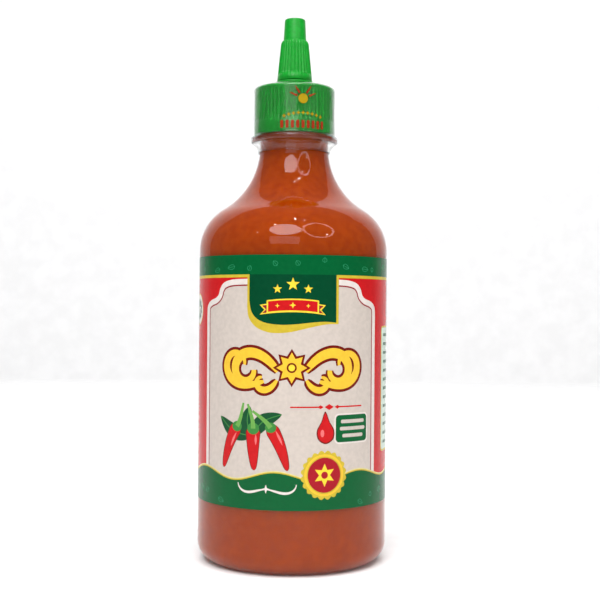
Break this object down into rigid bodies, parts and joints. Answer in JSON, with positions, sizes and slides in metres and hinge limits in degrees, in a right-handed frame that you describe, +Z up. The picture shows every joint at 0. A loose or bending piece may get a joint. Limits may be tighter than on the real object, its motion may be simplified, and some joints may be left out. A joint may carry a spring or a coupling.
{
  "type": "hot sauce bottle",
  "caption": "Round clear squeeze bottle of hot sauce with a wrap label, ribbed screw cap, fluted twist tip and clear shrink seal.",
  "frame": {"origin": "centre of the bottle's base, on the surface that it stands on", "axes": "+Z up along the bottle's axis, the middle of the label faces -Y, +X to the right of it"},
  "size_m": [0.068, 0.068, 0.196],
  "materials": {
    "clear_plastic": "clear glossy blown plastic",
    "sauce": "smooth wet orange-red sauce",
    "label": "satin printed film",
    "green_plastic": "satin moulded plastic",
    "seal_film": "clear glossy shrink film"
  },
  "bodies": {
    "root": {"bottle": "clear_plastic", "sauce": "sauce", "label": "label", "screw_cap": "green_plastic", "twist_tip": "green_plastic", "seal_band": "seal_film"}
  },
  "joints": []
}
